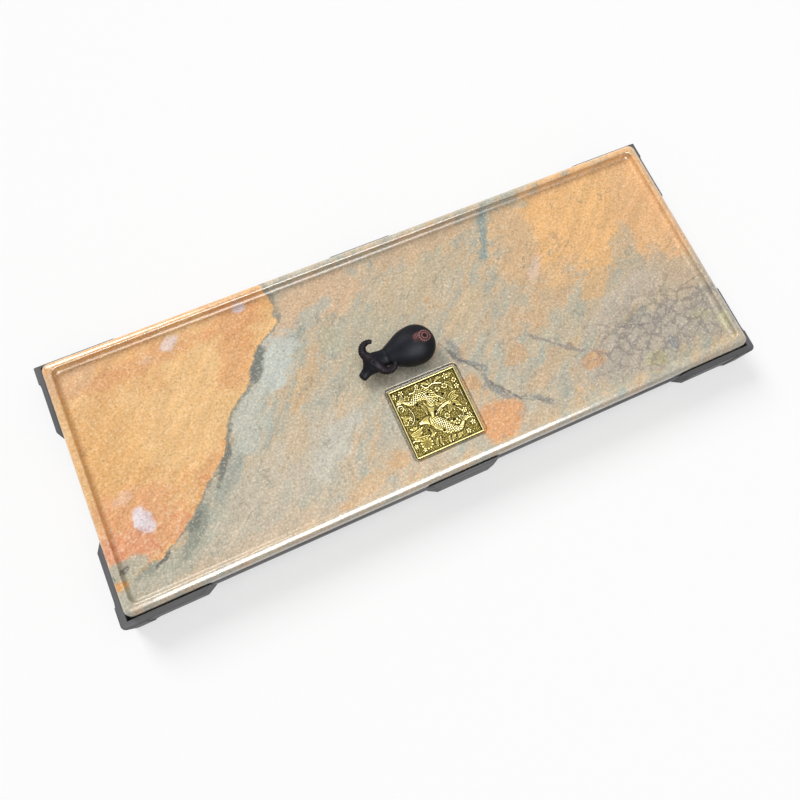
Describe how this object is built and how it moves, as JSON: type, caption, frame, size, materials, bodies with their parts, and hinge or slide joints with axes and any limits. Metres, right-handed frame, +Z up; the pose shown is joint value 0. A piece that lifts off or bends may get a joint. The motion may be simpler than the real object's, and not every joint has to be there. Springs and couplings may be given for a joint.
{
  "type": "gongfu tea tray",
  "caption": "Rectangular stone tea tray with a shallow basin, a square relief drain cover over a drain, a loose clay tea pet and a low wooden base on feet.",
  "frame": {"origin": "on the floor, under the middle of the slab", "axes": "+X to the right along the tray's length, +Y to the back, +Z up; the drain cover is towards the front, -Y"},
  "size_m": [0.6148, 0.2407, 0.0648],
  "materials": {
    "stone": "polished natural stone, orange and grey",
    "cast_brass": "cast relief, bright with dark olive hollows",
    "turned_brass": "turned, satin",
    "rubber": "black moulded rubber",
    "white_nylon": "moulded nylon",
    "spring_steel": "bright spring steel",
    "black_wood": "black stained, matte, open grain",
    "plain_wood": "planed, oiled",
    "zinc_steel": "zinc plated",
    "clear_silicone": "translucent silicone",
    "dark_clay": "unglazed blue-black clay with a red-brown rosette"
  },
  "bodies": {
    "base": {"front_rail": "black_wood", "back_rail": "black_wood", "left_rail": "black_wood", "right_rail": "black_wood", "left_stretcher": "plain_wood", "right_stretcher": "plain_wood", "corner_splines": "plain_wood", "front_left_foot": "black_wood", "front_right_foot": "black_wood", "back_left_foot": "black_wood", "back_right_foot": "black_wood", "front_middle_foot": "black_wood", "back_middle_foot": "black_wood", "foot_pads": "rubber", "foot_screws": "zinc_steel", "slab_pads": "clear_silicone"},
    "slab": {"stone_slab": "stone", "drain_flange": "turned_brass", "flange_gasket": "rubber", "backing_washer": "rubber", "lock_nut": "white_nylon"},
    "outlet": {"outlet_elbow": "white_nylon", "elbow_o_ring": "rubber", "elbow_clip": "spring_steel"},
    "cover": {"drain_cover": "cast_brass"},
    "pet": {"tea_pet": "dark_clay"}
  },
  "joints": [
    {"name": "slab_lift", "type": "slide", "parent": "base", "child": "slab", "axis": [0, 0, 1], "range_m": [0, 0.06]},
    {"name": "cover_lift", "type": "slide", "parent": "slab", "child": "cover", "axis": [0, 0, 1], "range_m": [0, 0.03]},
    {"name": "pet_lift", "type": "slide", "parent": "slab", "child": "pet", "axis": [0, 0, 1], "range_m": [0, 0.05]},
    {"name": "outlet_swivel", "type": "hinge", "parent": "slab", "child": "outlet", "pos_m": [0.001, -0.058, 0.01], "axis": [0, 0, 1], "range_deg": [-90, 90]}
  ]
}
